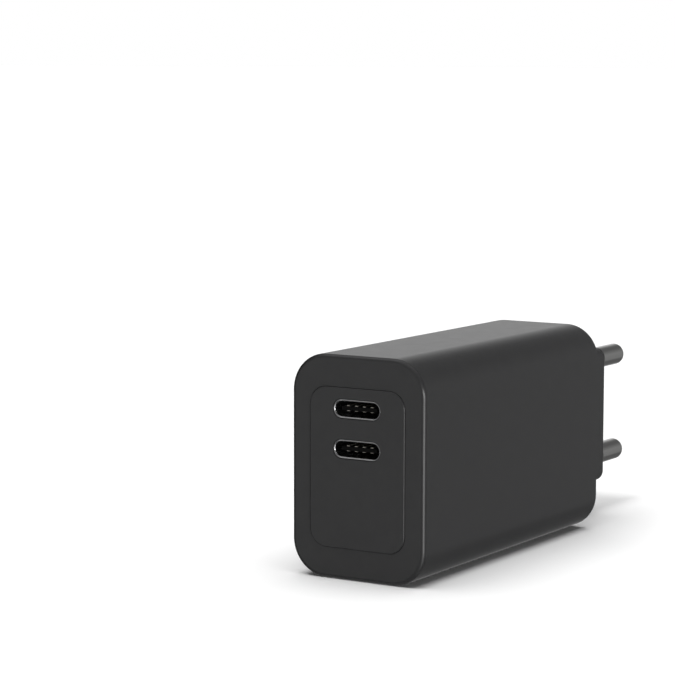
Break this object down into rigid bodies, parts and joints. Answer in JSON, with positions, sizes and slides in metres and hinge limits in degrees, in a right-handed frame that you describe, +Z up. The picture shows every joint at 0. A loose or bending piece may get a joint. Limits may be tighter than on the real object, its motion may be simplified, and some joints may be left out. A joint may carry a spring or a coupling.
{
  "type": "usb wall charger",
  "caption": "Slim rounded wall charger with two stacked USB-C sockets in an inset panel and a fixed two-pin round plug on a stepped neck.",
  "frame": {"origin": "centre of the bounding box, on the plane of the narrow side that the charger lies on", "axes": "+Y from the sockets to the pin tips, +X across the thickness, +Z up across the width, the sockets nearer the top"},
  "size_m": [0.0252, 0.097, 0.037],
  "materials": {
    "casing_plastic": "satin charcoal",
    "panel_plastic": "satin charcoal",
    "sleeve_plastic": "semi-gloss black",
    "clamp_plastic": "natural nylon",
    "pin_metal": "polished nickel plate",
    "contact_brass": "rolled strip",
    "socket_metal": "drawn stainless steel",
    "tongue_plastic": "moulded black",
    "contact_gold": "gold plate",
    "board_laminate": "green solder mask",
    "header_plastic": "moulded black",
    "fuse_body": "glazed tube",
    "varistor_coating": "dipped blue epoxy",
    "thermistor_coating": "dipped green epoxy",
    "film_capacitor_case": "yellow box",
    "ferrite": "sintered dark grey",
    "copper_wire": "enamelled copper",
    "chip_plastic": "moulded epoxy",
    "capacitor_sleeve": "shrunk sleeve",
    "bobbin_plastic": "phenolic",
    "winding_tape": "polyester tape",
    "optocoupler_plastic": "white epoxy",
    "y_capacitor_coating": "dipped blue epoxy",
    "capacitor_can": "drawn can",
    "chip_ceramic": "fired ceramic",
    "spreader_metal": "rolled sheet",
    "pad_silicone": "soft silicone",
    "insulating_film": "amber film"
  },
  "bodies": {
    "root": {"housing": "casing_plastic", "socket_panel": "panel_plastic", "plug_base": "casing_plastic", "pin_clamp": "clamp_plastic", "line_pin": "pin_metal", "neutral_pin": "pin_metal", "line_pin_sleeve": "sleeve_plastic", "neutral_pin_sleeve": "sleeve_plastic", "line_contact": "contact_brass", "neutral_contact": "contact_brass", "usb_c_shell_upper": "socket_metal", "usb_c_shell_lower": "socket_metal", "usb_c_tongue_upper": "tongue_plastic", "usb_c_tongue_lower": "tongue_plastic", "usb_c_contacts_upper": "contact_gold", "usb_c_contacts_lower": "contact_gold", "main_board": "board_laminate", "socket_board": "board_laminate", "input_board": "board_laminate", "board_header": "header_plastic", "fuse": "fuse_body", "surge_varistor": "varistor_coating", "inrush_thermistor": "thermistor_coating", "x_capacitor": "film_capacitor_case", "choke_core": "ferrite", "choke_windings": "copper_wire", "bridge_rectifier": "chip_plastic", "bulk_capacitor_1": "capacitor_sleeve", "bulk_capacitor_2": "capacitor_sleeve", "bulk_capacitor_3": "capacitor_sleeve", "transformer_core": "ferrite", "transformer_bobbin": "bobbin_plastic", "transformer_winding": "copper_wire", "transformer_tape": "winding_tape", "power_switch": "chip_plastic", "output_rectifier": "chip_plastic", "feedback_optocoupler": "optocoupler_plastic", "y_capacitor": "y_capacitor_coating", "charge_controller": "chip_plastic", "output_capacitor_1": "capacitor_can", "output_capacitor_2": "capacitor_can", "output_inductor": "ferrite", "small_chips": "chip_ceramic", "heat_spreader": "spreader_metal", "thermal_pad": "pad_silicone", "spreader_film": "insulating_film", "solder_side_film": "insulating_film"}
  },
  "joints": []
}
